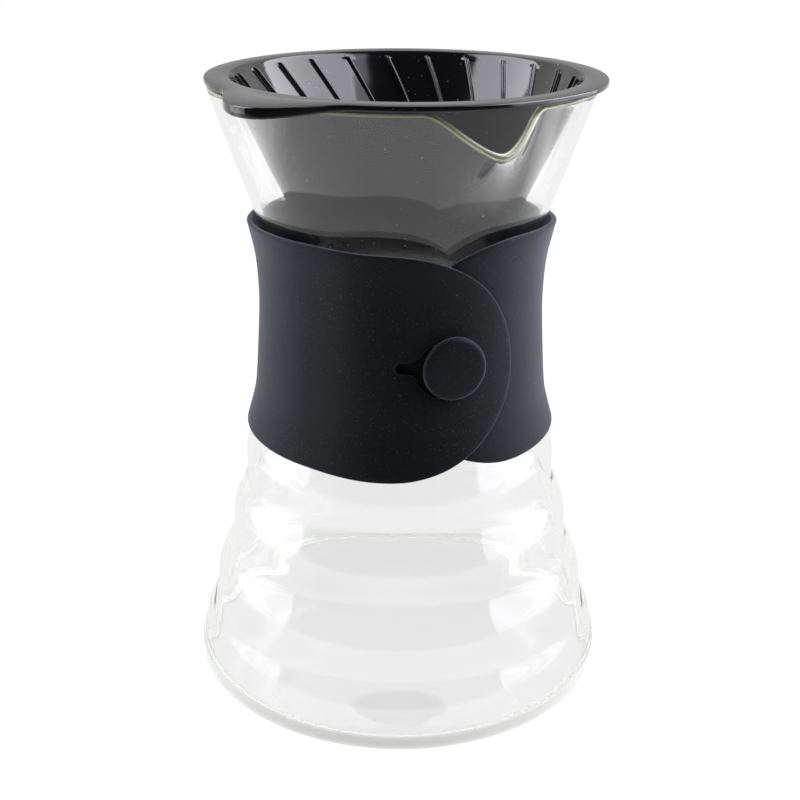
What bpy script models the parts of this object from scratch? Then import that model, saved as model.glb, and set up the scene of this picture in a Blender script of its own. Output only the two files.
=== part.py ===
"""Pour-over coffee decanter: a waisted glass carafe with a V spout, a lift-out ribbed
dripper resting on its rim, and a soft wrap sleeve that buttons round the waist.

Frame: origin at the centre of the base on the table, +Z up, -Y towards the user.
Angles called az are measured in degrees from -Y, positive towards +X.
"""
import math

import bmesh
import bpy
from mathutils import Matrix, Vector

MM = 0.001
GAP = 0.3 * MM                      # clearance kept between pieces that touch

# Whole object
HEIGHT = 198.0 * MM                 # table to the top of the dripper's flange
FLANGE_T = 1.8 * MM
RIM_Z = HEIGHT - FLANGE_T - GAP     # top of the glass

# Glass carafe: (height, outer radius) on the smooth line through its side
GLASS_T = 2.4 * MM
GLASS_BASE_T = 3.0 * MM
GLASS_SIDE = [(z * MM, r * MM) for z, r in (
    (3.0, 70.4), (15.0, 67.0), (27.0, 63.5), (49.5, 57.1), (72.0, 51.8), (85.0, 49.1),
    (96.0, 46.1), (106.0, 44.7), (127.0, 43.65), (144.0, 44.2), (155.7, 46.1), (172.0, 51.7),
    (196.0, 59.8))]
WAVE_PITCH = 22.5 * MM              # spacing of the stacked bulges below the waist
WAVE_HEIGHT = 0.9 * MM
WAVE_START = 4.5 * MM
WAVE_LOW = (8.0 * MM, 22.0 * MM)    # the bulges grow to their full height between these
WAVE_TOP = 72.0 * MM                # the bulges fade out over one pitch above this
CORNER_R = 3.2 * MM                 # rounded edge between the side and the base
FOOT_INNER_R = 54.0 * MM            # flat foot ring runs from here to the corner
PUNT = 1.0 * MM                     # rise of the base inside the foot ring
GLASS_STEP_AZ = 10.0

# Pouring spout in the rim
SPOUT_AZ = 23.6
SPOUT_HALF_AZ = 18.6
SPOUT_DROP = 10.5 * MM
SPOUT_REACH = 8.8 * MM              # how far its tip stands out from the cone
SPOUT_START_Z = 164.0 * MM          # the crease below the tip fades out here

# Dripper: 60 degree cone, flange with a lifting tab, spiral ribs
CONE_TAN = math.tan(math.radians(30.0))
CONE_TOP_R = 53.4 * MM
CONE_EDGE = 0.8 * MM                # soft edge between the cone and the flange top
OUTLET_R = 8.0 * MM
OUTLET_WALL = 2.1 * MM              # thickness taken level, not square to the cone
BODY_TOP_R = 54.6 * MM              # the outside is steeper than the cone inside it
BODY_LOW_R, BODY_LOW_Z = 33.6 * MM, 151.0 * MM
DRIPPER_X = 1.2 * MM                # it rests this far off the carafe's axis, within its play
FLANGE_R = 61.2 * MM
TAB_AZ = -33.5
TAB_HALF_AZ = (26.0, 20.0)          # on its left and on its right
TAB_REACH = 14.8 * MM
TAB_LIP = 1.4 * MM                  # extra depth of the edge at the tab
RIB_COUNT = 24
RIB_FIRST_AZ = 7.6                  # top end of the first rib
RIB_HALF_W = 0.8 * MM
RIB_HEIGHT = 1.5 * MM
RIB_SWEEP_RIBS = 6                  # a rib ends this many rib spaces round from its top
RIB_TOP_R = CONE_TOP_R - 0.8 * MM
SHORT_RIB_END_R = 26.0 * MM
CONE_ROWS = [r * MM for r in (8.0, 10.0, 13.0, 18.0, 24.0, 28.0, 34.0, 42.0)]

# Silicone sleeve
BAND_T = 1.8 * MM
BAND_LOW, BAND_HIGH = 85.4 * MM, 155.7 * MM
BAND_MID = (BAND_LOW + BAND_HIGH) / 2
BAND_HALF = (BAND_HIGH - BAND_LOW) / 2
BAND_INNER = [(z * MM, r * MM) for z, r in (
    (85.4, 49.5), (92.4, 47.5), (98.0, 46.2), (110.0, 45.1), (127.0, 44.1), (137.0, 44.3),
    (144.0, 45.0), (150.3, 46.3), (155.7, 47.5))]
BAND_ROWS = 9
HINGE_AZ = -50.0                    # where the free flap starts to bend away
HINGE_R = 46.6 * MM
INNER_END_AZ = -4.0                 # tip of the end that lies underneath
FLAP_END_AZ = 44.5                  # tip of the flap that lies on top
FLAP_LIFT_AZ = (-34.0, -9.0)        # the flap climbs onto the inner end between these
FLAP_SAG = 1.4 * MM                 # the flap's tip hangs a little low
END_STEPS = 8

# Button stud and the keyhole it goes through
STUD_AZ, STUD_Z = 18.5, 120.0 * MM
STUD_NECK_R, STUD_NECK_L = 4.6 * MM, 2.8 * MM
STUD_HEAD_R, STUD_HEAD_T = 9.75 * MM, 3.0 * MM
STUD_SIDES = 28
HOLE_AZ, HOLE_Z, HOLE_R = 16.0, 118.6 * MM, 8.7 * MM
SLOT_AZ, SLOT_Z, SLOT_R = 0.2, 119.7 * MM, 1.9 * MM

GLASS_LOOK = ((0.93, 0.96, 0.94, 1.0), 0.03)
DRIPPER_LOOK = ((0.015, 0.015, 0.017, 1.0), 0.15)
SILICONE_LOOK = ((0.022, 0.024, 0.028, 1.0), 0.6)


def clear_scene():
    for item in list(bpy.data.objects):
        bpy.data.objects.remove(item, do_unlink=True)


def material(name, look):
    colour, roughness = look
    made = bpy.data.materials.new(name)
    made.use_nodes = True
    shader = made.node_tree.nodes["Principled BSDF"]
    shader.inputs["Base Color"].default_value = colour
    shader.inputs["Roughness"].default_value = roughness
    return made


def smoothstep(low, high, value):
    t = min(max((value - low) / (high - low), 0.0), 1.0)
    return t * t * (3.0 - 2.0 * t)


def through(points, z):
    """Radius at height z on a smooth line through (height, radius) points."""
    z = min(max(z, points[0][0]), points[-1][0])
    i = 0
    while i < len(points) - 2 and z > points[i + 1][0]:
        i += 1
    slopes = []
    for k in (i, i + 1):
        a, b = points[max(k - 1, 0)], points[min(k + 1, len(points) - 1)]
        slopes.append((b[1] - a[1]) / (b[0] - a[0]))
    (z0, r0), (z1, r1) = points[i], points[i + 1]
    h = z1 - z0
    t = (z - z0) / h
    return ((2 * t**3 - 3 * t**2 + 1) * r0 + (t**3 - 2 * t**2 + t) * h * slopes[0]
            + (3 * t**2 - 2 * t**3) * r1 + (t**3 - t**2) * h * slopes[1])


def at(az, radius, z):
    a = math.radians(az)
    return Vector((radius * math.sin(a), -radius * math.cos(a), z))


def skin(name, loops, wrap, look, turn=0):
    """A closed solid through a row of closed loops, capped at its ends unless it wraps.

    turn is how many places the last loop is turned against the first where it wraps.
    """
    bm = bmesh.new()
    rows = [[bm.verts.new(p) for p in loop] for loop in loops]
    pairs = list(zip(rows, rows[1:]))
    if wrap:
        pairs.append((rows[-1], rows[0][turn:] + rows[0][:turn]))
    else:
        bm.faces.new(rows[0])
        bm.faces.new(rows[-1])
    count = len(rows[0])
    for low, high in pairs:
        for i in range(count):
            j = (i + 1) % count
            bm.faces.new((low[i], low[j], high[j], high[i]))
    bmesh.ops.recalc_face_normals(bm, faces=bm.faces)
    mesh = bpy.data.meshes.new(name)
    bm.to_mesh(mesh)
    bm.free()
    mesh.shade_smooth()
    mesh.set_sharp_from_angle(angle=math.radians(35.0))
    mesh.materials.append(look)
    made = bpy.data.objects.new(name, mesh)
    bpy.context.scene.collection.objects.link(made)
    return made


# ---------------------------------------------------------------- glass carafe

def glass_radius(z):
    fade = smoothstep(*WAVE_LOW, z) * (1.0 - smoothstep(WAVE_TOP, WAVE_TOP + WAVE_PITCH, z))
    phase = 2.0 * math.pi * (z - WAVE_START) / WAVE_PITCH
    return through(GLASS_SIDE, z) + WAVE_HEIGHT * fade * math.sin(phase)


def spout(az):
    """1 at the tip of the spout, 0 outside it: a V with a small round bottom."""
    u = min(abs(az - SPOUT_AZ) / SPOUT_HALF_AZ, 1.0)
    soft = 0.04
    u = (math.sqrt(u * u + soft * soft) - soft) / (math.sqrt(1.0 + soft * soft) - soft)
    return (1.0 - u) ** 2 * (1.0 + 1.33 * u)


def glass_point(az, z, inset):
    """A point on the glass at nominal height z, dropped and drawn out at the spout."""
    share = max(z - SPOUT_START_Z, 0.0) / (RIM_Z - SPOUT_START_Z)
    lip = spout(az)
    radius = glass_radius(z) - inset + SPOUT_REACH * lip * share ** 2
    return at(az, radius, z - SPOUT_DROP * lip * share)


def steps(low, high, count):
    return [low + (high - low) * i / count for i in range(count + 1)]


def glass_azimuths():
    """Even steps round the glass, with closer ones across the spout."""
    even = steps(-180.0, 180.0 - GLASS_STEP_AZ, round(360.0 / GLASS_STEP_AZ) - 1)
    plain = [a for a in even if abs(a - SPOUT_AZ) > SPOUT_HALF_AZ]
    close = [SPOUT_AZ + SPOUT_HALF_AZ * k / 5 for k in range(-5, 6)]
    return sorted(plain + close)


def glass_heights(wave_steps, waist_steps, cone_steps):
    """Nominal heights up the side of the glass, from above its corner to its rim."""
    waves_end = WAVE_TOP + WAVE_PITCH
    heights = steps(CORNER_R, waves_end, wave_steps)[1:]
    heights += steps(waves_end, SPOUT_START_Z, waist_steps)[1:]
    return heights + steps(SPOUT_START_Z, RIM_Z, cone_steps)[1:]


def glass_decanter(look):
    azimuths = glass_azimuths()
    edge_r = glass_radius(CORNER_R)
    outer = glass_heights(18, 9, 4)
    loops = [[at(a, FOOT_INNER_R - 3 * MM, PUNT) for a in azimuths],
             [at(a, FOOT_INNER_R, 0.0) for a in azimuths]]
    for turn in (0.0, 30.0, 60.0, 90.0):
        t = math.radians(turn)
        radius = edge_r - CORNER_R * (1.0 - math.sin(t))
        loops.append([at(a, radius, CORNER_R * (1.0 - math.cos(t))) for a in azimuths])
    loops += [[glass_point(a, z, 0.0) for a in azimuths] for z in outer]
    inner = [z for z in reversed(glass_heights(12, 6, 4)) if z > 3 * CORNER_R]
    loops += [[glass_point(a, z, GLASS_T) for a in azimuths] for z in inner]
    floor_r = glass_radius(CORNER_R) - GLASS_T
    for turn in (90.0, 45.0, 0.0):
        t = math.radians(turn)
        radius = floor_r - 6 * MM * (1.0 - math.sin(t))
        height = GLASS_BASE_T + PUNT + 6 * MM * (1.0 - math.cos(t))
        loops.append([at(a, radius, height) for a in azimuths])
    return skin("glass_decanter", loops, False, look)


# --------------------------------------------------------------------- dripper

def cone_z(radius):
    return HEIGHT - CONE_EDGE - (CONE_TOP_R - radius) / CONE_TAN


def tab(az):
    """0 on the round flange, rising to 1 at the tip of the lifting tab."""
    half = TAB_HALF_AZ[0] if az < TAB_AZ else TAB_HALF_AZ[1]
    u = min(abs(az - TAB_AZ) / half, 1.0)
    return 0.5 + 0.5 * math.cos(math.pi * u)


def rib_columns():
    """(rib number, place across the rib in half widths or None for the gap, height)."""
    across = ((-1.0, 0.0), (0.0, 1.0), (1.0, 0.0), (None, 0.0))
    return [(rib, place, height) for rib in range(RIB_COUNT) for place, height in across]


def rib_share(rib, radius):
    """Height of a rib against its full height: every other rib is a short one."""
    end = OUTLET_R if rib % 2 == 0 else SHORT_RIB_END_R
    return smoothstep(end - 2 * MM, end + 8 * MM, radius) * (1.0 if radius <= RIB_TOP_R else 0.0)


def column_az(column, radius):
    rib, place, _ = column
    pitch = 360.0 / RIB_COUNT
    inward = math.log(CONE_TOP_R / radius) / math.log(CONE_TOP_R / OUTLET_R)
    centre = RIB_FIRST_AZ + (rib - RIB_SWEEP_RIBS * inward) * pitch
    if place is None:
        return centre + pitch / 2
    widest = 6.0 if rib % 2 == 0 else 3.0
    half = min(math.degrees(RIB_HALF_W / radius), widest)
    return centre + place * half


def wrap_az(az):
    return (az + 180.0) % 360.0 - 180.0


def dripper(look):
    columns = rib_columns()

    def inner(radius):
        loop = []
        for column in columns:
            height = RIB_HEIGHT * column[2] * rib_share(column[0], radius)
            loop.append(at(column_az(column, radius), radius - height, cone_z(radius)))
        return loop

    def flange(inset, drop, lip):
        loop = []
        for column in columns:
            az = wrap_az(column_az(column, CONE_TOP_R))
            radius = FLANGE_R + TAB_REACH * tab(az) - inset
            loop.append(at(az, radius, HEIGHT - drop - lip * tab(az)))
        return loop

    def level(radius, z):
        return [at(column_az(c, CONE_TOP_R), radius, z) for c in columns]

    loops = [inner(r) for r in CONE_ROWS + [RIB_TOP_R, RIB_TOP_R + 0.3 * MM]]
    loops.append(level(CONE_TOP_R, HEIGHT - CONE_EDGE))
    loops.append(level(CONE_TOP_R + CONE_EDGE, HEIGHT))
    edge = 0.6 * MM
    loops += [flange(edge, 0.0, 0.0), flange(0.0, edge, 0.0),
              flange(0.0, FLANGE_T - edge, TAB_LIP), flange(edge, FLANGE_T, TAB_LIP)]
    loops.append(level(FLANGE_R - 1.0 * MM, HEIGHT - FLANGE_T))
    loops.append(level(BODY_TOP_R, HEIGHT - FLANGE_T))
    loops.append(level(BODY_LOW_R, BODY_LOW_Z))
    loops.append(level(OUTLET_R + OUTLET_WALL, cone_z(OUTLET_R)))
    turn = RIB_SWEEP_RIBS * len(columns) // RIB_COUNT
    shifted = [[p + Vector((DRIPPER_X, 0.0, 0.0)) for p in loop] for loop in loops]
    return skin("dripper", shifted, True, look, turn)


# -------------------------------------------------------------- silicone sleeve

def band_section(az, low, high, lift):
    """Closed loop across the sleeve wall at az: up the outside, down the inside."""
    heights = steps(low, high, BAND_ROWS - 1)
    outside = [at(az, through(BAND_INNER, z) + BAND_T + lift, z) for z in heights]
    inside = [at(az, through(BAND_INNER, z) + lift, z) for z in heights]
    return outside + inside[::-1]


def round_end(tip_az, inward):
    """(az, half height) along a half-round end, from its start to just short of its tip."""
    reach = math.degrees(BAND_HALF / HINGE_R)
    stations = []
    for i in range(END_STEPS + 1):
        turn = math.radians(86.0 * i / END_STEPS)
        stations.append((tip_az + inward * reach * (1.0 - math.sin(turn)),
                         BAND_HALF * math.cos(turn)))
    return stations


def silicone_band(look):
    end = round_end(INNER_END_AZ, 1.0)
    start_az = HINGE_AZ - math.degrees(GAP / HINGE_R) / 2
    plain = [(az, BAND_HALF) for az in steps(start_az + 360.0, end[0][0], 24)[:-1]]
    loops = [band_section(az, BAND_MID - half, BAND_MID + half, 0.0) for az, half in plain + end]
    return skin("silicone_band", loops, False, look)


def flap_lift(az):
    return (BAND_T + GAP) * smoothstep(FLAP_LIFT_AZ[0], FLAP_LIFT_AZ[1], az)


def along(az, z, radius, length):
    """Matrix that puts local +Z along the outward radius at az, from the given radius."""
    out = at(az, 1.0, 0.0)
    turn = out.to_track_quat("Z", "Y").to_matrix().to_4x4()
    return Matrix.Translation(at(az, radius + length / 2, z)) @ turn


def keyhole_cutter(name, az, z, radius):
    bm = bmesh.new()
    length = 12 * MM
    bmesh.ops.create_cone(bm, cap_ends=True, segments=32, radius1=radius, radius2=radius,
                          depth=length)
    bmesh.ops.transform(bm, matrix=along(az, z, HINGE_R - 3 * MM, length), verts=bm.verts)
    mesh = bpy.data.meshes.new(name)
    bm.to_mesh(mesh)
    bm.free()
    return mesh


def slot_cutter_mesh(name):
    """Straight-sided slot from the hole to its round tip, as a prism across the flap."""
    bm = bmesh.new()
    corners = []
    for turn in range(90, 271, 20):
        t = math.radians(turn)
        corners.append((SLOT_AZ + math.degrees(SLOT_R * math.cos(t) / HINGE_R),
                        SLOT_Z + SLOT_R * math.sin(t)))
    corners += [(HOLE_AZ, SLOT_Z - SLOT_R), (HOLE_AZ, SLOT_Z + SLOT_R)]
    near = [bm.verts.new(at(az, HINGE_R - 3 * MM, z)) for az, z in corners]
    far = [bm.verts.new(at(az, HINGE_R + 9 * MM, z)) for az, z in corners]
    bm.faces.new(near)
    bm.faces.new(far)
    for i in range(len(corners)):
        j = (i + 1) % len(corners)
        bm.faces.new((near[i], near[j], far[j], far[i]))
    bmesh.ops.triangulate(bm, faces=[f for f in bm.faces if len(f.verts) > 4])
    bmesh.ops.recalc_face_normals(bm, faces=bm.faces)
    mesh = bpy.data.meshes.new(name)
    bm.to_mesh(mesh)
    bm.free()
    return mesh


def cut(target, name, mesh):
    cutter = bpy.data.objects.new(name, mesh)
    bpy.context.scene.collection.objects.link(cutter)
    cutter.hide_render = True
    cutter.display_type = "WIRE"
    modifier = target.modifiers.new(name, "BOOLEAN")
    modifier.operation = "DIFFERENCE"
    modifier.solver = "EXACT"
    modifier.object = cutter


def set_origin(made, place):
    """Move the object's origin to a place and leave its surface where it is."""
    made.data.transform(Matrix.Translation(-place))
    made.location = place


def band_flap(look):
    end = round_end(FLAP_END_AZ, -1.0)
    start_az = HINGE_AZ + math.degrees(GAP / HINGE_R) / 2
    plain = [(az, BAND_HALF) for az in steps(start_az, end[0][0], 10)[:-1]]
    loops = []
    for az, half in plain + end:
        mid = BAND_MID - FLAP_SAG * smoothstep(FLAP_LIFT_AZ[0], FLAP_END_AZ, az)
        loops.append(band_section(az, mid - half, mid + half, flap_lift(az)))
    flap = skin("band_flap", loops, False, look)
    set_origin(flap, at(HINGE_AZ, HINGE_R, BAND_MID))
    cut(flap, "keyhole_round", keyhole_cutter("keyhole_round", HOLE_AZ, HOLE_Z, HOLE_R))
    cut(flap, "keyhole_slot", slot_cutter_mesh("keyhole_slot"))
    return flap


def band_stud(look):
    """Mushroom-headed button: (radius, height) rings from the foot of its neck up."""
    head = STUD_NECK_L + STUD_HEAD_T
    rings = ((STUD_NECK_R, 0.0), (STUD_NECK_R, STUD_NECK_L), (STUD_HEAD_R - 0.9 * MM, STUD_NECK_L),
             (STUD_HEAD_R, STUD_NECK_L + 0.8 * MM), (STUD_HEAD_R, head - 1.4 * MM),
             (STUD_HEAD_R - 0.6 * MM, head - 0.7 * MM), (STUD_HEAD_R - 2.0 * MM, head - 0.25 * MM),
             (STUD_HEAD_R * 0.45, head))
    foot_r = through(BAND_INNER, STUD_Z) + BAND_T + GAP
    place = along(STUD_AZ, STUD_Z, foot_r, 0.0)
    loops = []
    for radius, height in rings:
        turns = [2.0 * math.pi * i / STUD_SIDES for i in range(STUD_SIDES)]
        loops.append([place @ Vector((radius * math.cos(t), radius * math.sin(t), height))
                      for t in turns])
    return skin("band_stud", loops, False, look)


def main():
    clear_scene()
    silicone = material("silicone", SILICONE_LOOK)
    glass_decanter(material("glass", GLASS_LOOK))
    dripper(material("dripper_plastic", DRIPPER_LOOK))
    silicone_band(silicone)
    band_flap(silicone)
    band_stud(silicone)


main()
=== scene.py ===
"""Looks for the pour-over decanter: clear glass, glossy dripper, soft sleeve and its button.

Lengths are metres in the frame of the CAD part. Angles called az are degrees round the
carafe from -Y, positive towards +X.
"""

import math

import bmesh
import bpy
import numpy as np
from mathutils import Matrix, Vector
from mathutils.geometry import delaunay_2d_cdt


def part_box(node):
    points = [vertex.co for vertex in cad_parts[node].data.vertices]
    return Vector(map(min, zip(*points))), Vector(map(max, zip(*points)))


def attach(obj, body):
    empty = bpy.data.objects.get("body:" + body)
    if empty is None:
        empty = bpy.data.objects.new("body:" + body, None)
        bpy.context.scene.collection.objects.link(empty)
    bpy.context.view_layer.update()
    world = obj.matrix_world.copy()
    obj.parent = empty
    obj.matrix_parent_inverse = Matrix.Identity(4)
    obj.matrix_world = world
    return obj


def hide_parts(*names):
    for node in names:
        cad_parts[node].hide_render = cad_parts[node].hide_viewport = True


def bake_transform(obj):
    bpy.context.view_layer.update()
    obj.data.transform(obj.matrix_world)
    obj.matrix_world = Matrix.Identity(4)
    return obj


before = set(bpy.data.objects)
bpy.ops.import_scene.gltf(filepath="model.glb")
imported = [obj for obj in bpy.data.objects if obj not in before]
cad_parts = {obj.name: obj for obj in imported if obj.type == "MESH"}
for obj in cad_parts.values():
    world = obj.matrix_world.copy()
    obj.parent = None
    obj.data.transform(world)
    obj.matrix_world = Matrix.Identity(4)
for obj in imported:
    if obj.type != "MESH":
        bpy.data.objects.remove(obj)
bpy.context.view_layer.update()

MM = 0.001
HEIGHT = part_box("dripper")[1].z
RIM_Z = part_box("glass_decanter")[1].z

# ------------------------------------------------------------------ shape constants

# Glass
GLASS_T = 2.3 * MM
# (height, outer radius) of the smooth line through its side
GLASS_SIDE = [(z * MM, r * MM) for z, r in (
    (3.0, 70.4), (15.0, 67.0), (27.0, 63.5), (49.5, 57.1), (72.0, 51.8), (85.0, 49.1), (96.0, 46.1),
    (106.0, 44.7), (127.0, 43.65), (144.0, 44.2), (155.7, 46.1), (172.0, 51.7), (196.0, 59.8))]
WAVE_PITCH = 22.5 * MM
WAVE_HEIGHT = 0.9 * MM
WAVE_START = 4.5 * MM
WAVE_LOW = (8.0 * MM, 22.0 * MM)
WAVE_TOP = 72.0 * MM
CORNER_R = 2.2 * MM
CORNER_STEPS = 9
PUNT = 1.0 * MM                     # how far the middle of the base is raised
PUNT_R = (30.0 * MM, 60.0 * MM)     # the underside slopes between these
CENTRE_RINGS = (4.0 * MM, 20.0 * MM, 30.0 * MM)
BASE_RINGS = (34.0 * MM, 60.0 * MM, 9)
RIM_STEPS = 12
RIM_PAINTED_GLOW_STRIPS = (1, 2, 7, 8)           # strips across the round rim with the bright painted glow; the rest get a faint painted glow
FOOT_GLOW_TOP = 5.8 * MM                 # the foot's edge is cloudy grey with a painted white glow up to here
FOOT_CLEAR_STEPS = 2                # steps of the foot's round edge that stay clear
OUTER_ROWS, INNER_ROWS = 170, 150
GLASS_AZ_STEP = 2.25
SPOUT_COLUMNS = 49
BASE_T = 2.0 * MM
HEEL_R = 3.0 * MM                   # fillet inside the base
INNER_WAVE = 0.75                   # how much of the bulges shows on the inside of the glass

SPOUT_AZ = 23.6
SPOUT_HALF_AZ = 18.6
SPOUT_DROP = 10.5 * MM
SPOUT_REACH = 8.8 * MM
SPOUT_START_Z = 164.0 * MM
SPOUT_SOFT = (0.045, 0.9)           # rounding of the V at the rim, and how much it grows below

# Dripper
CONE_TAN = math.tan(math.radians(30.0))
CONE_TOP_R = 53.4 * MM
CONE_EDGE = 0.8 * MM
OUTLET_R = 8.0 * MM
OUTLET_WALL = 2.1 * MM
BODY_TOP_R = 54.6 * MM
BODY_LOW_R, BODY_LOW_Z = 33.6 * MM, 151.0 * MM
BODY_BEND = 1.5 * MM                # softness of the bend at that height
BODY_ROWS = 40
DRIPPER_X = 1.2 * MM
FLANGE_R = 61.2 * MM
FLANGE_T = 1.8 * MM
FLANGE_EDGE_R = 0.55 * MM
FLANGE_FILLET_R = 0.9 * MM
TAB_AZ = -33.5
TAB_HALF_AZ = (26.0, 20.0)
TAB_REACH = 14.8 * MM
TAB_LIP = 1.4 * MM
RIB_COUNT = 24
RIB_FIRST_AZ = 7.6
RIB_HALF_W = 0.6 * MM
RIB_HEIGHT = 1.2 * MM
RIB_SWEEP = 90.0
RIB_TOP_R = CONE_TOP_R - 0.4 * MM
RIB_TOP_ROUND = 0.7 * MM
RIB_ROWS = 44
SHORT_RIB_END_R = 26.0 * MM
# (place across a rib in half widths, share of its height)
RIB_SECTION = ((-1.35, 0.0), (-1.1, 0.1), (-0.9, 0.5), (-0.62, 0.88), (-0.3, 0.98), (0.0, 1.0),
               (0.3, 0.98), (0.62, 0.88), (0.9, 0.5), (1.1, 0.1), (1.35, 0.0))
RIB_GAP_COLUMNS = 5
RIB_MOST_HALF_AZ = (4.6, 2.3)       # widest half of a long and of a short rib near the outlet

# Sleeve
BAND_T = 1.8 * MM
BAND_EDGE_R = 0.6 * MM
BAND_INNER = [(z * MM, r * MM) for z, r in (
    (85.4, 49.5), (92.4, 47.5), (98.0, 46.2), (110.0, 45.1), (127.0, 44.1), (137.0, 44.3),
    (144.0, 45.0), (150.3, 46.3), (155.7, 47.5))]
ARC_R = 46.6 * MM                   # radius at which the flat pattern is laid out
HINGE_AZ = -50.0
BEND_HALF_AZ = 12.0
FLAP_LIFT_AZ = (-36.0, -8.0)
FLAP_LIFT = 2.1 * MM
OUTLINE_STEP, HOLE_STEP, SHEET_GRID = 0.9 * MM, 0.45 * MM, 1.5 * MM
EASE_ROUNDS = 20                    # passes that ease the corners of a flat outline
# (az, height) along the edges of the wrap and of the end that lies under it
SEAM_LOW, SEAM_HIGH = 85.5 * MM, 153.6 * MM
WRAP_LOW_EDGE = ((-180.0, SEAM_LOW), (-60.0, 85.4 * MM), (-30.0, 85.1 * MM))
WRAP_HIGH_EDGE = ((-30.0, 155.1 * MM), (-58.0, 155.0 * MM), (-76.0, 154.4 * MM),
                  (-95.0, 153.6 * MM), (-180.0, SEAM_HIGH))
UNDER_LOW_EDGE = ((70.0, 85.9 * MM), (180.0, SEAM_LOW))
UNDER_HIGH_EDGE = ((180.0, SEAM_HIGH), (100.0, 153.8 * MM), (84.0, 154.7 * MM),
                   (68.0, 156.0 * MM))
# rounded ends: az of the oval's centre and tip, height of its tip, lowest, highest, squareness
WRAP_TIP = (-4.0, 44.5, 118.0 * MM, 84.8 * MM, 154.5 * MM, 1.95)
UNDER_TIP = (45.0, -4.0, 120.5 * MM, 85.8 * MM, 156.6 * MM, 2.0)
# Keyhole
HOLE_AZ, HOLE_Z, HOLE_R = 16.0, 118.6 * MM, 8.7 * MM
SLOT_AZ, SLOT_Z, SLOT_HALF = 0.4, 119.7 * MM, 1.85 * MM
FLARE_TOP_R, FLARE_LOW_R = 5.5 * MM, 2.5 * MM
# Button
STUD_AZ, STUD_Z = 18.5, 120.0 * MM
STUD_NECK_R, STUD_HEAD_R = 4.6 * MM, 9.75 * MM
STUD_NECK_L, STUD_HEAD_T = 2.8 * MM, 3.0 * MM
STUD_GAP = 0.2 * MM                 # clear of the sleeve it stands on
STUD_FILLET_R = 0.6 * MM
STUD_LOW_EDGE_R, STUD_TOP_EDGE_R = 0.8 * MM, 1.5 * MM
STUD_CROWN = 0.35 * MM
STUD_COLUMNS = 72

# ------------------------------------------------------------------ studio constants

FLOOR_HALF, FLOOR_Z = 6.0, -0.3 * MM
FLOOR_LIGHT = 0.82
TABLE_FRONT = (-0.62, -0.22)        # the floor's painted light fades to dark between these, towards the front
SIDE_POOL = (0.26, 0.34)            # painted pools of light on the floor under the softboxes
SIDE_POOL_DEPTH = (0.10, 0.15)
SIDE_POOL_LIGHT = 1.0
WORLD_FRONT = 0.02
WORLD_SIDE = 1.1
WORLD_BACK = 0.50
SOFTBOX_LOW, SOFTBOX_HIGH = 2.0, 6.0   # radiance of the lower and upper panels
SOFTBOX_COLOUR = (0.93, 0.925, 1.0)
CAMERA_PLACE = (0.0, -0.3903, 0.2522)
CAMERA_LENS = 56.385
CAMERA_DOWN, CAMERA_ROLL = 22.54, 0.42


# ------------------------------------------------------------------ shape helpers

def smoothstep(low, high, value):
    t = np.clip((value - low) / (high - low), 0.0, 1.0)
    return t * t * (3.0 - 2.0 * t)


def through(points, z):
    """Radius at height z on a smooth line through (height, radius) points."""
    z = min(max(z, points[0][0]), points[-1][0])
    i = 0
    while i < len(points) - 2 and z > points[i + 1][0]:
        i += 1
    slopes = []
    for k in (i, i + 1):
        a, b = points[max(k - 1, 0)], points[min(k + 1, len(points) - 1)]
        slopes.append((b[1] - a[1]) / (b[0] - a[0]))
    (z0, r0), (z1, r1) = points[i], points[i + 1]
    h = z1 - z0
    t = (z - z0) / h
    return ((2 * t**3 - 3 * t**2 + 1) * r0 + (t**3 - 2 * t**2 + t) * h * slopes[0]
            + (3 * t**2 - 2 * t**3) * r1 + (t**3 - t**2) * h * slopes[1])


def at(az, radius, z):
    a = np.radians(az)
    return np.stack(np.broadcast_arrays(radius * np.sin(a), -radius * np.cos(a), z), -1)


def add_mesh(name, points, faces, look, sharp):
    mesh = bpy.data.meshes.new(name)
    mesh.from_pydata([tuple(p) for p in points], [], faces)
    mesh.validate()
    bm = bmesh.new()
    bm.from_mesh(mesh)
    bmesh.ops.remove_doubles(bm, verts=bm.verts, dist=1e-7)
    bmesh.ops.recalc_face_normals(bm, faces=bm.faces)
    bm.to_mesh(mesh)
    bm.free()
    mesh.shade_smooth()
    mesh.set_sharp_from_angle(angle=math.radians(sharp))
    mesh.materials.append(look)
    made = bpy.data.objects.new(name, mesh)
    bpy.context.scene.collection.objects.link(made)
    return made


def skin(rows, wrap, turn=0):
    """Points and faces of a solid through closed rows of points, capped unless it wraps."""
    count = len(rows[0])
    faces = []
    last = len(rows) if wrap else len(rows) - 1
    for k in range(last):
        low = k * count
        high = ((k + 1) % len(rows)) * count
        shift = turn if wrap and k == len(rows) - 1 else 0
        for i in range(count):
            j = (i + 1) % count
            faces.append((low + i, low + j, high + (j + shift) % count,
                          high + (i + shift) % count))
    if not wrap:
        faces.append(tuple(range(count)))
        faces.append(tuple(range((len(rows) - 1) * count, len(rows) * count)))
    return np.concatenate(rows), faces


# ------------------------------------------------------------------ glass

def glass_radius(z, share=1.0):
    fade = smoothstep(*WAVE_LOW, z) * (1.0 - smoothstep(WAVE_TOP, WAVE_TOP + WAVE_PITCH, z))
    phase = 2.0 * math.pi * (z - WAVE_START) / WAVE_PITCH
    return through(GLASS_SIDE, z) + share * WAVE_HEIGHT * fade * math.sin(phase)


def spout(az, share):
    """1 at the spout's tip line, 0 outside it: a V at the rim that gets rounder below."""
    u = np.minimum(np.abs(az - SPOUT_AZ) / SPOUT_HALF_AZ, 1.0)
    soft = SPOUT_SOFT[0] + SPOUT_SOFT[1] * (1.0 - share)
    u = (np.sqrt(u * u + soft * soft) - soft) / (math.sqrt(1.0 + soft * soft) - soft)
    return (1.0 - u) ** 2 * (1.0 + 1.33 * u)


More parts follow.
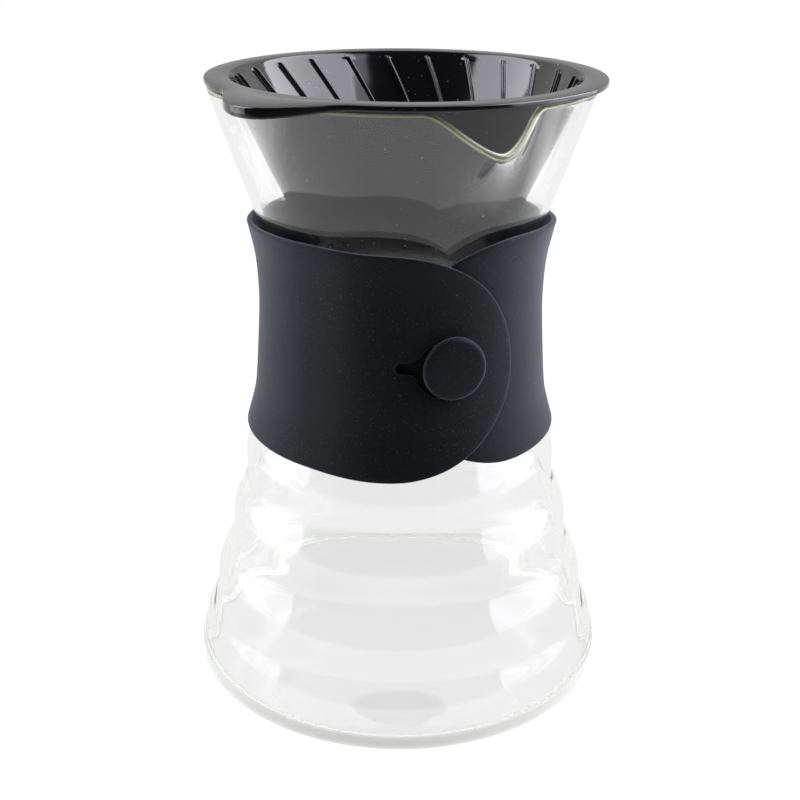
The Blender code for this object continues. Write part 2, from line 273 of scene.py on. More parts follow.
def wall_line(az, z, wave):
    """Points on the glass at nominal height z, halfway through a wall of even thickness."""
    step = 0.2 * MM
    slope = (glass_radius(z + step) - glass_radius(z - step)) / (2 * step)
    inset = GLASS_T / 2 * math.sqrt(1.0 + slope * slope)
    share = max(z - SPOUT_START_Z, 0.0) / (RIM_Z - SPOUT_START_Z)
    lip = spout(az, share)
    radius = glass_radius(z, wave) - inset + SPOUT_REACH * lip * share ** 2
    return at(az, radius, z - SPOUT_DROP * lip * share)


def wall_frame(az, z, wave=1.0):
    """Middle of the wall, its outward normal and the direction up it."""
    step = 0.2 * MM
    middle = wall_line(az, z, wave)
    up = wall_line(az, z + step, wave) - wall_line(az, z - step, wave)
    round_ = wall_line(az + 0.1, z, wave) - wall_line(az - 0.1, z, wave)
    out = np.cross(round_, up)
    out /= np.linalg.norm(out, axis=1, keepdims=True)
    up /= np.linalg.norm(up, axis=1, keepdims=True)
    return middle, out, up


def glass_decanter(look, rim_glow_look, rim_faint_glow_look, foot_glow_look):
    coarse = np.arange(-180.0, 180.0, GLASS_AZ_STEP)
    coarse = coarse[np.abs(coarse - SPOUT_AZ) > SPOUT_HALF_AZ + 1.5]
    fine = SPOUT_AZ + np.linspace(-SPOUT_HALF_AZ - 0.8, SPOUT_HALF_AZ + 0.8, SPOUT_COLUMNS)
    az = np.sort(np.concatenate([coarse, fine]))
    # underside, then the round corner of the foot
    rows = [at(az, r, PUNT) for r in CENTRE_RINGS]
    rows += [at(az, r, PUNT * (1.0 - smoothstep(*PUNT_R, r))) for r in np.linspace(*BASE_RINGS)]
    edge_r = glass_radius(CORNER_R)
    rows += [at(az, edge_r - CORNER_R * (1.0 - math.sin(t)), CORNER_R * (1.0 - math.cos(t)))
             for t in np.radians(np.linspace(0.0, 84.0, CORNER_STEPS))]
    foot_glow_start = len(rows) - CORNER_STEPS + FOOT_CLEAR_STEPS
    # up the outside, over the round rim, down the inside
    half = GLASS_T / 2
    top = RIM_Z - half
    for z in np.linspace(CORNER_R + 0.7 * MM, top, OUTER_ROWS):
        middle, out, _ = wall_frame(az, z)
        rows.append(middle + half * out)
    middle, out, up = wall_frame(az, top)
    rim_start = len(rows) - 1
    for t in np.radians(np.linspace(0.0, 180.0, RIM_STEPS + 1))[1:-1]:
        rows.append(middle + half * (math.cos(t) * out + math.sin(t) * up))
    for z in np.linspace(BASE_T + HEEL_R + 0.8 * MM, top, INNER_ROWS)[::-1]:
        middle, out, _ = wall_frame(az, z, INNER_WAVE)
        rows.append(middle - half * out)
    # fillet inside the base, then the floor of the decanter
    heel_r = float(np.linalg.norm(rows[-1][0][:2]))
    for t in np.radians(np.linspace(85.0, 0.0, 8)):
        radius = heel_r - HEEL_R * (1.0 - math.sin(t))
        rows.append(at(az, radius, BASE_T + HEEL_R * (1.0 - math.cos(t))))
    rows += [at(az, r, BASE_T + PUNT * (1.0 - smoothstep(*PUNT_R, r)))
             for r in np.linspace(*BASE_RINGS)[::-1]]
    rows += [at(az, r, PUNT + BASE_T) for r in CENTRE_RINGS[::-1]]
    points, faces = skin(rows, False)
    made = add_mesh("decanter_glass", points, faces, look, 60.0)
    for extra in (rim_glow_look, rim_faint_glow_look, foot_glow_look):
        made.data.materials.append(extra)
    for face in made.data.polygons:
        row = face.index // len(az)
        # strips of the round rim get the bright painted glow, the rest of the rim the faint painted
        # glow
        if 0 <= row - rim_start < RIM_STEPS - 1:
            face.material_index = 1 if row - rim_start in RIM_PAINTED_GLOW_STRIPS else 2
        # the foot's round edge gets the painted white glow up to its top height
        elif foot_glow_start <= row < rim_start and face.center.z < FOOT_GLOW_TOP:
            face.material_index = 3
    return made


# ------------------------------------------------------------------ dripper

def tab(az):
    off = (az + 180.0) % 360.0 - 180.0 - TAB_AZ
    u = np.minimum(np.abs(off) / np.where(off < 0.0, *TAB_HALF_AZ), 1.0)
    return 0.5 + 0.5 * np.cos(math.pi * u)


def cone_z(radius):
    return HEIGHT - CONE_EDGE - (CONE_TOP_R - radius) / CONE_TAN


def body_radius(z):
    """Outside of the dripper: steeper than its cone, then drawn in to the outlet."""
    steep = BODY_LOW_R + (BODY_TOP_R - BODY_LOW_R) * (z - BODY_LOW_Z) / (
        HEIGHT - FLANGE_T - BODY_LOW_Z)
    bottom_z = cone_z(OUTLET_R)
    share = (z - bottom_z) / (BODY_LOW_Z - bottom_z)
    low = OUTLET_R + OUTLET_WALL + (BODY_LOW_R - OUTLET_R - OUTLET_WALL) * share
    return (steep + low - math.sqrt((steep - low) ** 2 + BODY_BEND ** 2)) / 2


def rib_columns():
    """Arrays: rib number, place in half widths (nan in the gap), gap share, height."""
    number, place, gap, height = [], [], [], []
    for rib in range(RIB_COUNT):
        for p, h in RIB_SECTION:
            number.append(rib)
            place.append(p)
            gap.append(0.0)
            height.append(h)
        for k in range(1, RIB_GAP_COLUMNS + 1):
            number.append(rib)
            place.append(np.nan)
            gap.append(k / (RIB_GAP_COLUMNS + 1))
            height.append(0.0)
    return np.array(number), np.array(place), np.array(gap), np.array(height)


def dripper(look):
    number, place, gap, height = rib_columns()
    pitch = 360.0 / RIB_COUNT
    long_rib = number % 2 == 0
    reach = RIB_SECTION[-1][0]

    def half_width(radius, which):
        return np.minimum(np.degrees(RIB_HALF_W / radius), np.where(which, *RIB_MOST_HALF_AZ))

    def azimuths(radius):
        inward = math.log(CONE_TOP_R / radius) / math.log(CONE_TOP_R / OUTLET_R)
        centre = RIB_FIRST_AZ + number * pitch - RIB_SWEEP * inward
        half = half_width(radius, long_rib)
        next_half = half_width(radius, ~long_rib)
        start = centre + reach * half
        end = centre + pitch - reach * next_half
        return np.where(np.isnan(place), start + (end - start) * gap,
                        centre + np.nan_to_num(place) * half)

    def inner(radius):
        end = np.where(long_rib, OUTLET_R, SHORT_RIB_END_R)
        share = smoothstep(end - 1 * MM, end + 7 * MM, radius)
        top = np.clip((RIB_TOP_R - radius) / RIB_TOP_ROUND, 0.0, 1.0)
        share = share * math.sqrt(float(1.0 - (1.0 - top) ** 2))
        lift = RIB_HEIGHT * height * share
        points = at(azimuths(radius), radius - lift * math.cos(math.radians(30.0)), 0.0)
        points[:, 2] = cone_z(radius) + lift * math.sin(math.radians(30.0))
        return points

    az_top = azimuths(CONE_TOP_R)
    lobe = tab(az_top)

    def level(radius, z):
        return at(az_top, radius, z)

    def flange(inset, drop, lip):
        return at(az_top, FLANGE_R + TAB_REACH * lobe - inset, HEIGHT - drop - lip * lobe)

    radii = list(np.geomspace(OUTLET_R + 0.6 * MM, RIB_TOP_R - 0.8 * MM, RIB_ROWS))
    radii += [RIB_TOP_R - d * MM for d in (0.6, 0.4, 0.2, 0.06, 0.0)]
    rows = [inner(r) for r in radii]
    # soft edge that turns from the cone onto the level flange
    for share in (0.0, 0.25, 0.5, 0.75, 1.0):
        rows.append(level(CONE_TOP_R + CONE_EDGE * share,
                          HEIGHT - CONE_EDGE * (1.0 - math.sin(math.pi / 2 * share))))
    quarter = np.radians(np.linspace(0.0, 90.0, 5))
    edge = FLANGE_EDGE_R
    for t in quarter:
        rows.append(flange(edge * (1.0 - math.sin(t)), edge * (1.0 - math.cos(t)), 0.0))
    for t in quarter:
        inset = edge * (1.0 - math.cos(t))
        drop = FLANGE_T - edge * (1.0 - math.sin(t))
        rows.append(flange(inset, drop, TAB_LIP))
    under = HEIGHT - FLANGE_T
    bottom_r, bottom_z = OUTLET_R + OUTLET_WALL, cone_z(OUTLET_R)
    rows.append(level(FLANGE_R - 1.6 * MM, under))
    for t in quarter:
        rows.append(level(BODY_TOP_R + FLANGE_FILLET_R * (1.0 - math.sin(t)),
                          under - FLANGE_FILLET_R * (1.0 - math.cos(t))))
    for z in np.linspace(under - 3 * MM, bottom_z + 1.2 * MM, BODY_ROWS):
        rows.append(level(body_radius(z), z))
    rows.append(level(bottom_r, bottom_z + 0.4 * MM))
    rows.append(level(bottom_r - 0.5 * MM, bottom_z))
    columns_per_rib = len(RIB_SECTION) + RIB_GAP_COLUMNS
    turn = round(RIB_SWEEP / pitch) * columns_per_rib
    rows = [row + np.array([DRIPPER_X, 0.0, 0.0]) for row in rows]
    points, faces = skin(rows, True, turn)
    return add_mesh("dripper_body", points, faces, look, 40.0)


# ------------------------------------------------------------------ sleeve

def arc(az):
    return math.radians(az) * ARC_R


def offset_loop(points, distance):
    """A closed loop moved to its left by a distance."""
    ahead = np.roll(points, -1, axis=0) - points
    ahead /= np.linalg.norm(ahead, axis=1, keepdims=True)
    behind = np.roll(ahead, 1, axis=0)
    along_ = ahead + behind
    along_ /= np.linalg.norm(along_, axis=1, keepdims=True)
    left = np.stack([-along_[:, 1], along_[:, 0]], -1)
    stretch = 1.0 / np.maximum(np.sum(along_ * ahead, axis=1), 0.5)
    return points + left * (distance * stretch)[:, None]


def evenly(points, step):
    """Points spaced about evenly round a closed line."""
    line = np.vstack([points, points[:1]])
    lengths = np.linalg.norm(np.diff(line, axis=0), axis=1)
    keep = np.concatenate([[True], lengths > 1e-9])
    line = line[keep]
    lengths = np.linalg.norm(np.diff(line, axis=0), axis=1)
    run = np.concatenate([[0.0], np.cumsum(lengths)])
    count = max(int(round(run[-1] / step)), 3)
    places = np.linspace(0.0, run[-1], count + 1)
    return np.stack([np.interp(places, run, line[:, k]) for k in (0, 1)], -1)[:-1]


def inside(points, loop):
    """Which points lie inside a closed loop."""
    x, y = points[:, 0], points[:, 1]
    result = np.zeros(len(points), bool)
    previous = loop[-1]
    for current in loop:
        crosses = (current[1] > y) != (previous[1] > y)
        if crosses.any():
            rise = previous[1] - current[1]
            edge = (previous[0] - current[0]) * (y - current[1]) / (rise or 1e-12) + current[0]
            result ^= crosses & (x < edge)
        previous = current
    return result


def keyhole():
    """The button hole and its slot as one closed loop, in flat (arc, height)."""
    hole = np.array([arc(HOLE_AZ), HOLE_Z])
    tip = np.array([arc(SLOT_AZ), SLOT_Z])
    loop = []
    for t in np.radians(np.linspace(90.0, 270.0, 13)):
        loop.append(tip + SLOT_HALF * np.array([math.cos(t), math.sin(t)]))
    centre_y = tip[1] - SLOT_HALF - FLARE_LOW_R
    run = math.sqrt((HOLE_R + FLARE_LOW_R) ** 2 - (centre_y - hole[1]) ** 2)
    lower = np.array([hole[0] - run, centre_y])
    touch = math.atan2(lower[1] - hole[1], lower[0] - hole[0])
    for t in np.linspace(math.pi / 2, touch + math.pi, 7):
        loop.append(lower + FLARE_LOW_R * np.array([math.cos(t), math.sin(t)]))
    start = touch + 2.0 * math.pi if touch < 0 else touch
    centre_y = tip[1] + SLOT_HALF + FLARE_TOP_R
    run = math.sqrt((HOLE_R + FLARE_TOP_R) ** 2 - (centre_y - hole[1]) ** 2)
    upper = np.array([hole[0] - run, centre_y])
    end = math.atan2(upper[1] - hole[1], upper[0] - hole[0]) + 2.0 * math.pi
    for t in np.linspace(start, end, 61)[1:]:
        loop.append(hole + HOLE_R * np.array([math.cos(t), math.sin(t)]))
    back = end - math.pi
    for t in np.linspace(back, 1.5 * math.pi if back > math.pi / 2 else -math.pi / 2, 9)[1:]:
        loop.append(upper + FLARE_TOP_R * np.array([math.cos(t), math.sin(t)]))
    return np.array(loop)


def rounded_end(centre_az, tip_az, mid_z, low_z, high_z, power, ends):
    """Half an oval from one edge of the sleeve round its tip to the other."""
    loop = []
    reach = arc(tip_az) - arc(centre_az)
    for t in np.radians(np.linspace(*ends, 61)):
        c, s = math.cos(t), math.sin(t)
        rise = (high_z - mid_z) if s > 0 else (mid_z - low_z)
        loop.append((arc(centre_az) + reach * abs(c) ** (2.0 / power),
                     mid_z + rise * math.copysign(abs(s) ** (2.0 / power), s)))
    return np.array(loop)


def sleeve_sheet(name, outline, holes, seam_x, lift, look, grid):
    """A rounded-edge sheet of silicone cut to a flat outline and wrapped round the waist.

    The outline runs anticlockwise, holes clockwise. Its straight end at seam_x stays square.
    """
    turns = np.radians(np.array([0.0, 30.0, 60.0, 90.0]))
    depths = BAND_EDGE_R * (1.0 - np.cos(turns))
    drops = BAND_EDGE_R * (1.0 - np.sin(turns))
    flat, drop, constraints = [], [], []

    def extend(points, amount):
        start = len(flat)
        flat.extend(points)
        drop.extend([amount] * len(points))
        return list(range(start, len(flat)))

    for loop in [outline] + holes:
        for depth, amount in zip(depths, drops):
            moved = offset_loop(loop, depth)
            moved[np.abs(loop[:, 0] - seam_x) < 1e-7, 0] = seam_x
            ids = extend([tuple(p) for p in moved], amount)
            constraints += list(zip(ids, ids[1:] + ids[:1]))
    low, high = outline.min(0), outline.max(0)
    xs = np.arange(low[0] + grid / 2, high[0], grid)
    ys = np.arange(low[1] + grid / 2, high[1], grid)
    cells = np.array([(x + (grid / 2 if j % 2 else 0.0), y) for j, y in enumerate(ys) for x in xs])
    border = BAND_EDGE_R + grid * 0.45
    keep = inside(cells, offset_loop(outline, border))
    for hole in holes:
        keep &= ~inside(cells, offset_loop(hole, border))
    extend([tuple(p) for p in cells[keep]], 0.0)
    made = delaunay_2d_cdt([Vector(p) for p in flat], constraints, [], 0, 1e-9, True)
    verts, _, faces, origin, _, _ = made
    verts = np.array([tuple(v) for v in verts])
    drop_at = np.array([drop[o[0]] if o else 0.0 for o in origin])
    centres = np.array([verts[list(f)].mean(0) for f in faces])
    keep = inside(centres, outline)
    for hole in holes:
        keep &= ~inside(centres, hole)
    faces = [tuple(f) for f, k in zip(faces, keep) if k]
    az = np.degrees(verts[:, 0] / ARC_R)
    base = np.array([through(BAND_INNER, z) for z in verts[:, 1]]) + lift(az)
    outer = at(az, base + BAND_T - drop_at, verts[:, 1])
    inner = at(az, base + drop_at, verts[:, 1])
    count = len(verts)
    points = np.concatenate([outer, inner])
    edges = {}
    for f in faces:
        for a, b in zip(f, f[1:] + f[:1]):
            key = (min(a, b), max(a, b))
            edges[key] = None if key in edges else (a, b)
    solid = list(faces) + [tuple(v + count for v in reversed(f)) for f in faces]
    for pair in edges.values():
        if pair:
            a, b = pair
            solid.append((b, a, a + count, b + count))
    return add_mesh(name, points, solid, look, 50.0)


def edge_line(points):
    return [(arc(az), z) for az, z in points]


def sleeve(look):
    # the wrap: from the seam at the back, round the left, to the flap's tip at front right
    seam_x = arc(-180.0)
    outline = np.vstack([edge_line(WRAP_LOW_EDGE), rounded_end(*WRAP_TIP, (-90.0, 90.0)),
                         edge_line(WRAP_HIGH_EDGE)])
    outline = smooth_outline(outline, seam_x, OUTLINE_STEP)
    hole = evenly(keyhole(), HOLE_STEP)[::-1]
    wrap = sleeve_sheet("sleeve_wrap", outline, [hole], seam_x, flap_lift, look, SHEET_GRID)
    # the end that lies underneath: from the seam, round the right, to its tip
    seam_x = arc(180.0)
    outline = np.vstack([edge_line(UNDER_HIGH_EDGE), rounded_end(*UNDER_TIP, (90.0, -90.0)),
                         edge_line(UNDER_LOW_EDGE)])
    outline = smooth_outline(outline, seam_x, OUTLINE_STEP)
    under = sleeve_sheet("sleeve_inner_end", outline, [], seam_x, lambda az: az * 0.0,
                         look, SHEET_GRID)
    return wrap, under


def smooth_outline(points, seam_x, step):
    """The outline with its corners away from the seam eased, in even anticlockwise steps."""
    loop = evenly(points, step)
    area = np.sum(loop[:, 0] * np.roll(loop[:, 1], -1) - np.roll(loop[:, 0], -1) * loop[:, 1])
    if area < 0:
        loop = loop[::-1]
    near = np.abs(loop[:, 0] - seam_x) < 3 * step
    for _ in range(EASE_ROUNDS):
        eased = (np.roll(loop, 1, axis=0) + 2 * loop + np.roll(loop, -1, axis=0)) / 4
        loop = np.where(near[:, None], loop, eased)
    low, high = sorted(points[:, 1][np.abs(points[:, 0] - seam_x) < 1e-9][[0, -1]])
    body = loop[np.abs(loop[:, 0] - seam_x) > 0.5 * step]
    seam = np.array([(seam_x, z) for z in np.linspace(low, high, int((high - low) / step))])
    rising = seam_x > 0
    start = int(np.argmin(np.linalg.norm(body - seam[-1 if rising else 0], axis=1)))
    body = np.roll(body, -start, axis=0)
    return np.vstack([body, seam if rising else seam[::-1]])


def flap_lift(az):
    return FLAP_LIFT * smoothstep(*FLAP_LIFT_AZ, az)


def button(look):
    foot = through(BAND_INNER, STUD_Z) + BAND_T + STUD_GAP
    head = STUD_NECK_L + STUD_HEAD_T
    crown = STUD_CROWN
    profile = [(0.6 * MM, 0.0), (STUD_NECK_R, 0.0), (STUD_NECK_R, STUD_NECK_L - STUD_FILLET_R)]
    for t in np.radians(np.linspace(0.0, 90.0, 5)):
        profile.append((STUD_NECK_R + STUD_FILLET_R * (1.0 - math.cos(t)),
                        STUD_NECK_L - STUD_FILLET_R * (1.0 - math.sin(t))))
    low, high = STUD_LOW_EDGE_R, STUD_TOP_EDGE_R
    for t in np.radians(np.linspace(0.0, 90.0, 6)):
        profile.append((STUD_HEAD_R - low * (1.0 - math.sin(t)),
                        STUD_NECK_L + low * (1.0 - math.cos(t))))
    for t in np.radians(np.linspace(8.0, 84.0, 9)):
        profile.append((STUD_HEAD_R - high * (1.0 - math.cos(t)),
                        head - crown - high * (1.0 - math.sin(t))))
    for share in (0.8, 0.6, 0.4, 0.2, 0.05):
        profile.append((STUD_HEAD_R * share, head - 1.2 * crown * share ** 2))
    turns = np.linspace(0.0, 2.0 * math.pi, STUD_COLUMNS + 1)[:-1]
    a = math.radians(STUD_AZ)
    out = np.array([math.sin(a), -math.cos(a), 0.0])
    side = np.array([math.cos(a), math.sin(a), 0.0])
    up = np.array([0.0, 0.0, 1.0])
    place = foot * out + STUD_Z * up
    rows = []
    for radius, height in profile:
        rows.append(place + height * out + radius * (np.cos(turns)[:, None] * side
                                                     + np.sin(turns)[:, None] * up))
    points, faces = skin(rows, False)
    return add_mesh("sleeve_button", points, faces, look, 50.0)


# ------------------------------------------------------------------ materials

GLASS_IOR = 1.47


def new_material(name):
    made = bpy.data.materials.new(name)
    made.use_nodes = True
    nodes, links = made.node_tree.nodes, made.node_tree.links
    return made, nodes, links, nodes["Principled BSDF"], nodes["Material Output"]


def object_coordinates(nodes):
    return nodes.new("ShaderNodeTexCoord").outputs["Object"]


def noise(nodes, links, vector, scale, detail=2.0, roughness=0.5):
    node = nodes.new("ShaderNodeTexNoise")
    node.inputs["Scale"].default_value = scale
    node.inputs["Detail"].default_value = detail
    node.inputs["Roughness"].default_value = roughness
    links.new(vector, node.inputs["Vector"])
    return node.outputs["Fac"]


def ramp(nodes, links, value, low, high, out_low=0.0, out_high=1.0):
    node = nodes.new("ShaderNodeMapRange")
    node.interpolation_type = "SMOOTHSTEP"
    for key, number in (("From Min", low), ("From Max", high), ("To Min", out_low),
                        ("To Max", out_high)):
        node.inputs[key].default_value = number
    links.new(value, node.inputs["Value"])
    return node.outputs["Result"]


def math_node(nodes, links, operation, *values):
    node = nodes.new("ShaderNodeMath")
    node.operation = operation
    for socket, value in zip(node.inputs, values):
        if isinstance(value, (int, float)):
            socket.default_value = value
        else:
            links.new(value, socket)
    return node.outputs[0]


def bump(nodes, links, height, strength, distance, target):
    node = nodes.new("ShaderNodeBump")
    node.inputs["Strength"].default_value = strength
    node.inputs["Distance"].default_value = distance
    links.new(height, node.inputs["Height"])
    links.new(node.outputs["Normal"], target)


def glass_material():
    """Clear glass with the faint upright ripple of a drawn wall; lamps shine through it."""
    made, nodes, links, shader, output = new_material("clear_borosilicate")
    shader.inputs["Base Color"].default_value = (0.99, 0.985, 0.988, 1.0)
    shader.inputs["Roughness"].default_value = 0.0
    shader.inputs["IOR"].default_value = GLASS_IOR
    shader.inputs["Transmission Weight"].default_value = 1.0
    coordinates = object_coordinates(nodes)
    drawn = nodes.new("ShaderNodeMapping")
    drawn.inputs["Scale"].default_value = (1.0, 1.0, 0.25)
    links.new(coordinates, drawn.inputs["Vector"])
    ripple = noise(nodes, links, drawn.outputs["Vector"], 55.0, 1.0)
    bump(nodes, links, ripple, 0.08, 0.001, shader.inputs["Normal"])
    clear = nodes.new("ShaderNodeBsdfTransparent")
    clear.inputs["Color"].default_value = (0.95, 0.965, 0.95, 1.0)
    path = nodes.new("ShaderNodeLightPath")
    mix = nodes.new("ShaderNodeMixShader")
    links.new(path.outputs["Is Shadow Ray"], mix.inputs[0])
    links.new(shader.outputs[0], mix.inputs[1])
    links.new(clear.outputs[0], mix.inputs[2])
    links.new(mix.outputs[0], output.inputs["Surface"])
    tint = nodes.new("ShaderNodeVolumeAbsorption")
    tint.inputs["Color"].default_value = (0.80, 0.95, 0.62, 1.0)
    tint.inputs["Density"].default_value = 4.0
    links.new(tint.outputs[0], output.inputs["Volume"])
    return made


def painted_glow_rim_material(name, light):
    """The fire-polished rim with a painted yellow-green glow in streaks, strongest at the spout; a
    low light gives a dimmer copy.
    """
    made, nodes, links, shader, _ = new_material(name)
    # base colour and painted glow both scale with light: a low light makes the painted dimmer copy
    shader.inputs["Base Color"].default_value = (0.74 * light, 0.77 * light, 0.55 * light, 1.0)
    shader.inputs["Roughness"].default_value = 0.10
    shader.inputs["IOR"].default_value = GLASS_IOR
    shader.inputs["Transmission Weight"].default_value = 0.55
    # painted glow: emission in streaks, stronger towards the spout
    shader.inputs["Emission Color"].default_value = (0.80, 0.84, 0.60, 1.0)
    coordinates = object_coordinates(nodes)
    glow_streaks = noise(nodes, links, coordinates, 90.0, 3.0)
    glow_streaks = ramp(nodes, links, glow_streaks, 0.35, 0.65, 0.04 * light, 0.30 * light)
    split = nodes.new("ShaderNodeSeparateXYZ")
    links.new(coordinates, split.inputs[0])
    spout_glow = ramp(nodes, links, split.outputs["X"], 2 * MM, 20 * MM, 0.15, 1.0)
    links.new(math_node(nodes, links, "MULTIPLY", glow_streaks, spout_glow),
              shader.inputs["Emission Strength"])
    return made


def painted_glow_foot_material():
    """The foot's rounded edge: cloudy grey with a painted white glow, and a fine noise in its
    roughness.
    """
    made, nodes, links, shader, _ = new_material("glass_foot_painted_glow")
    shader.inputs["Base Color"].default_value = (0.42, 0.43, 0.41, 1.0)
    shader.inputs["IOR"].default_value = GLASS_IOR
    shader.inputs["Transmission Weight"].default_value = 0.30
    # painted white glow on the foot's edge
    shader.inputs["Emission Color"].default_value = (1.0, 1.0, 0.97, 1.0)
    shader.inputs["Emission Strength"].default_value = 0.35
    fine = noise(nodes, links, object_coordinates(nodes), 900.0, 2.0)
    links.new(ramp(nodes, links, fine, 0.3, 0.7, 0.35, 0.42), shader.inputs["Roughness"])
    return made


def specks(nodes, links, coordinates, scale, share, size, patches):
    """0 to 1: sparse small dots of uneven strength, thicker in some places than others."""
    cells = nodes.new("ShaderNodeTexVoronoi")
    cells.inputs["Scale"].default_value = scale
    links.new(coordinates, cells.inputs["Vector"])
    dot = ramp(nodes, links, cells.outputs["Distance"], size * 0.5, size, 1.0, 0.0)
    chosen = nodes.new("ShaderNodeSeparateColor")
    links.new(cells.outputs["Color"], chosen.inputs[0])
    few = ramp(nodes, links, chosen.outputs[0], 1.0 - share - 0.01, 1.0 - share)
    where = ramp(nodes, links, noise(nodes, links, coordinates, 42.0, 2.0), *patches)
    amount = math_node(nodes, links, "MULTIPLY", dot, few)
    amount = math_node(nodes, links, "MULTIPLY", amount, where)
    strength = ramp(nodes, links, chosen.outputs[1], 0.0, 1.0, 0.25, 1.0)
    return math_node(nodes, links, "MULTIPLY", amount, strength)


def mixed(nodes, links, amount, plain, dotted, target):
    mix = nodes.new("ShaderNodeMix")
    mix.data_type = "RGBA"
    mix.inputs["A"].default_value = plain
    mix.inputs["B"].default_value = dotted
    links.new(amount, mix.inputs["Factor"])
    links.new(mix.outputs["Result"], target)


def plastic_material():
    """Gloss black moulded plastic with faint smudges and a little dust."""
    made, nodes, links, shader, _ = new_material("gloss_black_plastic")
    coordinates = object_coordinates(nodes)
    shader.inputs["IOR"].default_value = 1.55
    dust = specks(nodes, links, coordinates, 900.0, 0.08, 0.27, (0.38, 0.58))
    mixed(nodes, links, dust, (0.005, 0.005, 0.0065, 1.0), (0.30, 0.30, 0.29, 1.0),
          shader.inputs["Base Color"])
    smudge = noise(nodes, links, coordinates, 28.0, 4.0, 0.6)
    links.new(ramp(nodes, links, smudge, 0.35, 0.75, 0.06, 0.13), shader.inputs["Roughness"])
    fine = noise(nodes, links, coordinates, 120.0, 2.0)
    bump(nodes, links, fine, 0.01, 0.0004, shader.inputs["Normal"])
    return made


def silicone_material():
    """Matt black silicone: a soft sheen at its edges, fine grain and clinging lint."""
    made, nodes, links, shader, _ = new_material("matt_black_silicone")
    coordinates = object_coordinates(nodes)
    shader.inputs["IOR"].default_value = 1.40
    shader.inputs["Specular IOR Level"].default_value = 0.10
    shader.inputs["Sheen Weight"].default_value = 0.25
    shader.inputs["Sheen Roughness"].default_value = 0.5
    shader.inputs["Sheen Tint"].default_value = (0.75, 0.82, 1.0, 1.0)
    cloud = noise(nodes, links, coordinates, 30.0, 3.0)
    links.new(ramp(nodes, links, cloud, 0.3, 0.7, 0.43, 0.52), shader.inputs["Roughness"])
    small = specks(nodes, links, coordinates, 1400.0, 0.30, 0.36, (0.30, 0.56))
    large = specks(nodes, links, coordinates, 620.0, 0.05, 0.22, (0.40, 0.60))
    small = math_node(nodes, links, "MULTIPLY", small, 0.20)
    large = math_node(nodes, links, "MULTIPLY", large, 0.38)
    lint = math_node(nodes, links, "MAXIMUM", small, large)
    mixed(nodes, links, lint, (0.0018, 0.0026, 0.0028, 1.0), (0.16, 0.165, 0.165, 1.0),
          shader.inputs["Base Color"])
    grain = noise(nodes, links, coordinates, 1500.0, 2.0)
    bump(nodes, links, grain, 0.18, 0.0002, shader.inputs["Normal"])
    return made


# ------------------------------------------------------------------ the pieces

silicone = silicone_material()
# the rim gets a bright and a faint painted glow, the foot's edge a painted white glow
glass = glass_decanter(glass_material(), painted_glow_rim_material("glass_rim_painted_glow", 1.0),
                       painted_glow_rim_material("glass_rim_faint_painted_glow", 0.4), painted_glow_foot_material())
cone = dripper(plastic_material())
wrap, inner_end = sleeve(silicone)
stud = button(silicone)

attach(glass, "decanter")
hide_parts("glass_decanter")
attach(cone, "dripper")
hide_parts("dripper")
bend = [tuple(at(HINGE_AZ + side * BEND_HALF_AZ, ARC_R, 120.0 * MM)) for side in (-1, 1)]
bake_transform(wrap)
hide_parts("band_flap", "silicone_band")
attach(inner_end, "decanter")
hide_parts("silicone_band")
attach(stud, "decanter")
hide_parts("band_stud")


# ------------------------------------------------------------------ studio

def two_strengths(nodes, links, shown, lit, socket):
    """One strength to the camera and another as a light."""
    path = nodes.new("ShaderNodeLightPath")
    pick = nodes.new("ShaderNodeMix")
    pick.data_type = "FLOAT"
    links.new(path.outputs["Is Camera Ray"], pick.inputs[0])
    links.new(lit, pick.inputs[2])
    pick.inputs[3].default_value = shown
    links.new(pick.outputs[0], socket)


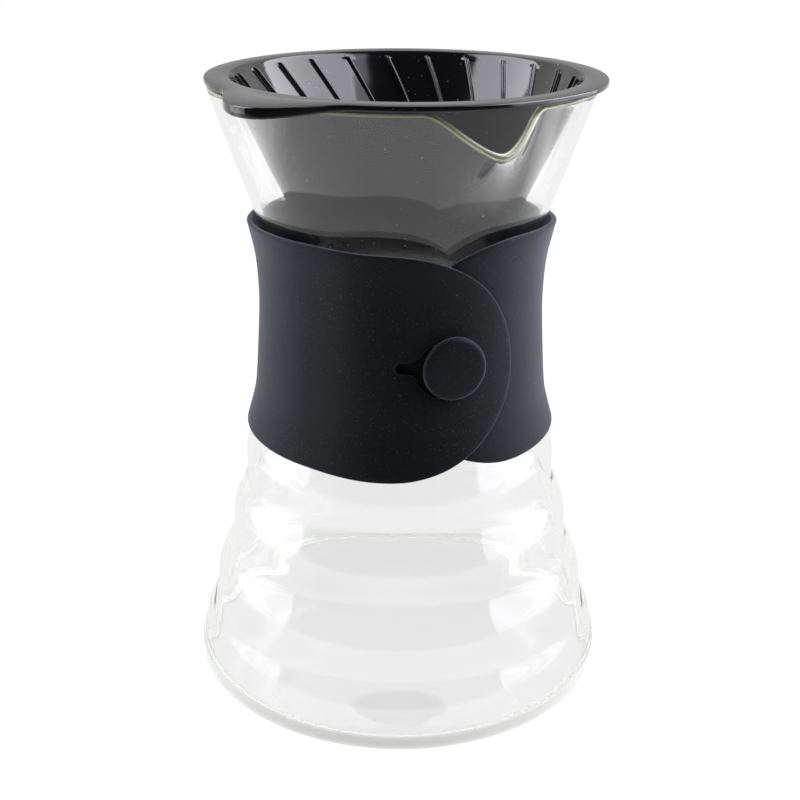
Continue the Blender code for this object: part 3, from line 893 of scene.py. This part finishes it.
def floor_and_world():
    corners = [(x * FLOOR_HALF, y * FLOOR_HALF, FLOOR_Z)
               for x, y in ((-1, -1), (1, -1), (1, 1), (-1, 1))]
    mesh = bpy.data.meshes.new("floor")
    mesh.from_pydata(corners, [], [(0, 1, 2, 3)])
    floor = bpy.data.objects.new("floor", mesh)
    bpy.context.scene.collection.objects.link(floor)
    made, nodes, links, shader, _ = new_material("white_paper_painted_light")
    shader.inputs["Base Color"].default_value = (0.04, 0.04, 0.04, 1.0)
    shader.inputs["Roughness"].default_value = 0.9
    shader.inputs["Specular IOR Level"].default_value = 0.0
    shader.inputs["Emission Color"].default_value = (1.0, 1.0, 1.0, 1.0)
    split = nodes.new("ShaderNodeSeparateXYZ")
    links.new(object_coordinates(nodes), split.inputs[0])
    # as a light the floor is painted: bright behind, fading to dark towards the front, with painted
    # pools of light under the softboxes; the camera sees it plain white
    near = ramp(nodes, links, split.outputs["Y"], *TABLE_FRONT, WORLD_FRONT, FLOOR_LIGHT)
    aside = math_node(nodes, links, "ABSOLUTE", split.outputs["X"])
    aside = ramp(nodes, links, aside, *SIDE_POOL, 0.0, SIDE_POOL_LIGHT)
    beside = math_node(nodes, links, "ABSOLUTE", split.outputs["Y"])
    beside = ramp(nodes, links, beside, *SIDE_POOL_DEPTH, 1.0, 0.0)
    aside = math_node(nodes, links, "MULTIPLY", aside, beside)
    light = math_node(nodes, links, "ADD", near, aside)
    two_strengths(nodes, links, 1.0, light, shader.inputs["Emission Strength"])
    mesh.materials.append(made)

    world = bpy.data.worlds.new("studio")
    bpy.context.scene.world = world
    world.use_nodes = True
    nodes, links = world.node_tree.nodes, world.node_tree.links
    background = nodes["Background"]
    direction = nodes.new("ShaderNodeTexCoord").outputs["Generated"]
    split = nodes.new("ShaderNodeSeparateXYZ")
    links.new(direction, split.inputs[0])
    side = ramp(nodes, links, split.outputs["Y"], -0.10, 0.35, WORLD_FRONT, WORLD_SIDE)
    back = ramp(nodes, links, split.outputs["Y"], 0.70, 0.95, 0.0, WORLD_SIDE - WORLD_BACK)
    wall = math_node(nodes, links, "SUBTRACT", side, back)
    two_strengths(nodes, links, 1.0, wall, background.inputs["Strength"])
    background.inputs["Color"].default_value = (1.0, 1.0, 1.0, 1.0)


def softbox(name, az, distance, width, height, centre_z, radiance):
    """An upright light panel that faces the object."""
    data = bpy.data.lights.new(name, "AREA")
    data.shape = "RECTANGLE"
    data.size, data.size_y = width, height
    data.energy = radiance * math.pi * width * height
    data.color = SOFTBOX_COLOUR
    box = bpy.data.objects.new(name, data)
    place = Vector(at(az, distance, centre_z))
    box.location = place
    aim = Vector((0.0, 0.0, 0.5 * centre_z + 0.05)) - place
    box.rotation_euler = aim.to_track_quat("-Z", "Y").to_euler()
    box.visible_camera = False
    bpy.context.scene.collection.objects.link(box)


floor_and_world()
for side, az, width in (("left", -92.0, 0.84), ("right", 93.0, 1.30)):
    softbox("softbox_low_" + side, az, 0.90, width, 0.45, 0.225, SOFTBOX_LOW)
    softbox("softbox_high_" + side, az, 0.92, width, 1.05, 0.95, SOFTBOX_HIGH)
softbox("softbox_over_shoulder", 46.0, 0.9, 0.26, 0.40, 1.15, 0.40 * SOFTBOX_HIGH)

camera_data = bpy.data.cameras.new("camera")
camera_data.lens = CAMERA_LENS
camera_data.sensor_width = 36.0
camera_data.clip_start = 0.01
camera = bpy.data.objects.new("camera", camera_data)
bpy.context.scene.collection.objects.link(camera)
pitch = Matrix.Rotation(math.radians(90.0 - CAMERA_DOWN), 4, "X")
roll = Matrix.Rotation(math.radians(CAMERA_ROLL), 4, "Z")
camera.matrix_world = Matrix.Translation(CAMERA_PLACE) @ pitch @ roll
bpy.context.scene.camera = camera
bpy.context.scene.view_settings.view_transform = "Standard"
bpy.context.scene.cycles.max_bounces = 48
bpy.context.scene.cycles.transmission_bounces = 48
bpy.context.scene.cycles.glossy_bounces = 24
